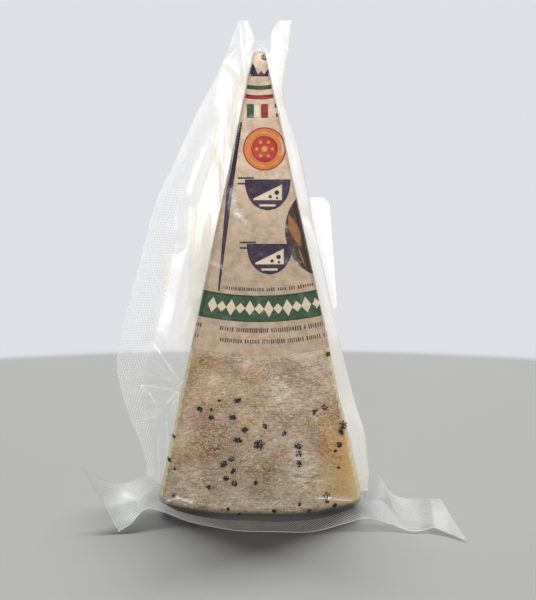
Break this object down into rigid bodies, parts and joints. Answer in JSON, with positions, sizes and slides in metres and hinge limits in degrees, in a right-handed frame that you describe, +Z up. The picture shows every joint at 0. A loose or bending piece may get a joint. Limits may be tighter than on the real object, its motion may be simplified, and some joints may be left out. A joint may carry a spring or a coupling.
{
  "type": "vacuum-packed toma cheese wedge",
  "caption": "Wedge of semi-hard toma cheese sealed in a clear vacuum pouch, standing on its heel with free film edges and a paper label on the back.",
  "frame": {"origin": "middle of the flat spot on the curved heel that the wedge rests on", "axes": "+Z up from the heel to the point of the wedge; -Y out of the labelled front face; +X to the right of someone facing the front"},
  "size_m": [0.1207, 0.1074, 0.1635],
  "materials": {
    "cheese_rind": "washed tan rind with a cloth imprint, pale bloom and dark mould specks, satin under the clear film",
    "cheese_paste": "smooth straw-yellow cut paste, slightly oily",
    "pouch_film": "clear glossy film, milky where two sheets are welded and embossed",
    "face_label": "thin greaseproof paper, tan where it lies wet on the rind, with plain printed colour fields",
    "label_print": "flat printing ink on paper",
    "label_paper": "smooth white thermal label paper"
  },
  "bodies": {
    "root": {"vacuum_pack": "cheese_rind", "back_label": "label_paper"}
  },
  "joints": []
}
